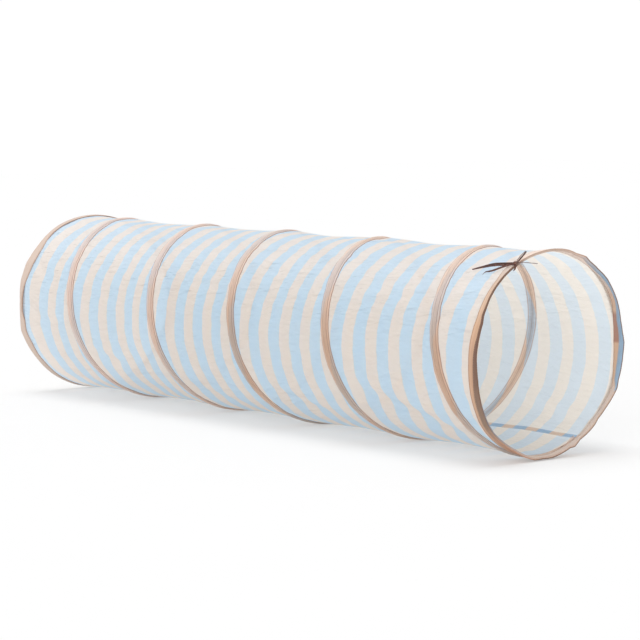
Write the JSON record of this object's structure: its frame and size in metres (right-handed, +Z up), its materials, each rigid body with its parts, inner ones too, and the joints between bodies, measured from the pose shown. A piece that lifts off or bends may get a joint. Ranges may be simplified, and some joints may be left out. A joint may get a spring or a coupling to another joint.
{
  "type": "pop-up play tunnel",
  "caption": "Striped fabric crawl tunnel on one long helical wire spring, with tape casing and hems, that collapses flat along its length.",
  "frame": {"origin": "on the floor, below the middle of the whole length, the bow's knot included", "axes": "+X along the tunnel towards the front end, which has the bow; +Z up"},
  "size_m": [1.8084, 0.465, 0.465],
  "materials": {
    "striped_fabric": "thin woven cotton and polyester, pale blue and cream stripes round the tunnel",
    "seam_fabric": "the same striped cloth, doubled in the lengthwise seam",
    "tan_tape": "matt tan binding tape, sewn with two rows of stitches",
    "spring_steel": "drawn spring wire",
    "ferrule_metal": "crimped sleeve",
    "ribbon": "satin ribbon, dark copper brown"
  },
  "bodies": {
    "back_end": {"back_hem": "tan_tape", "back_ferrule": "ferrule_metal", "spring_wire": "spring_steel", "casing_turn_1": "tan_tape", "fabric_back_wedge": "striped_fabric"},
    "turn_2": {"casing_turn_2": "tan_tape", "fabric_bay_1": "striped_fabric", "seam_allowance_1": "seam_fabric"},
    "turn_3": {"casing_turn_3": "tan_tape", "fabric_bay_2": "striped_fabric", "seam_allowance_2": "seam_fabric"},
    "turn_4": {"casing_turn_4": "tan_tape", "fabric_bay_3": "striped_fabric", "seam_allowance_3": "seam_fabric"},
    "turn_5": {"casing_turn_5": "tan_tape", "fabric_bay_4": "striped_fabric", "seam_allowance_4": "seam_fabric"},
    "front_end": {"front_hem": "tan_tape", "front_ferrule": "ferrule_metal", "fabric_front_wedge": "striped_fabric", "seam_allowance_5": "seam_fabric", "bow_knot": "ribbon", "bow_loop_left": "ribbon", "bow_loop_right": "ribbon", "bow_tail_left": "ribbon", "bow_tail_right": "ribbon"}
  },
  "joints": [
    {"name": "collapse", "type": "slide", "parent": "back_end", "child": "turn_2", "axis": [1, 0, 0], "range_m": [-0.348, 0], "stiffness_N_per_m": 75, "springref_m": 0.02, "deforming": ["spring_wire", "casing_turn_1", "fabric_back_wedge", "casing_turn_2", "fabric_bay_1", "seam_allowance_1"]},
    {"name": "collapse_turn_3", "type": "slide", "parent": "turn_2", "child": "turn_3", "axis": [1, 0, 0], "range_m": [-0.348, 0], "stiffness_N_per_m": 75, "springref_m": 0.02, "deforming": ["casing_turn_3", "fabric_bay_2", "seam_allowance_2"]},
    {"name": "collapse_turn_4", "type": "slide", "parent": "turn_3", "child": "turn_4", "axis": [1, 0, 0], "range_m": [-0.348, 0], "stiffness_N_per_m": 75, "springref_m": 0.02, "deforming": ["casing_turn_4", "fabric_bay_3", "seam_allowance_3"]},
    {"name": "collapse_turn_5", "type": "slide", "parent": "turn_4", "child": "turn_5", "axis": [1, 0, 0], "range_m": [-0.348, 0], "stiffness_N_per_m": 75, "springref_m": 0.02, "deforming": ["casing_turn_5", "fabric_bay_4", "seam_allowance_4"]},
    {"name": "collapse_front_end", "type": "slide", "parent": "turn_5", "child": "front_end", "axis": [1, 0, 0], "range_m": [-0.348, 0], "stiffness_N_per_m": 75, "springref_m": 0.02, "deforming": ["fabric_front_wedge", "seam_allowance_5"]}
  ],
  "couplings": [
    {"joint": "collapse_turn_3", "follows": "collapse", "ratio": 1},
    {"joint": "collapse_turn_4", "follows": "collapse", "ratio": 1},
    {"joint": "collapse_turn_5", "follows": "collapse", "ratio": 1},
    {"joint": "collapse_front_end", "follows": "collapse", "ratio": 1}
  ]
}
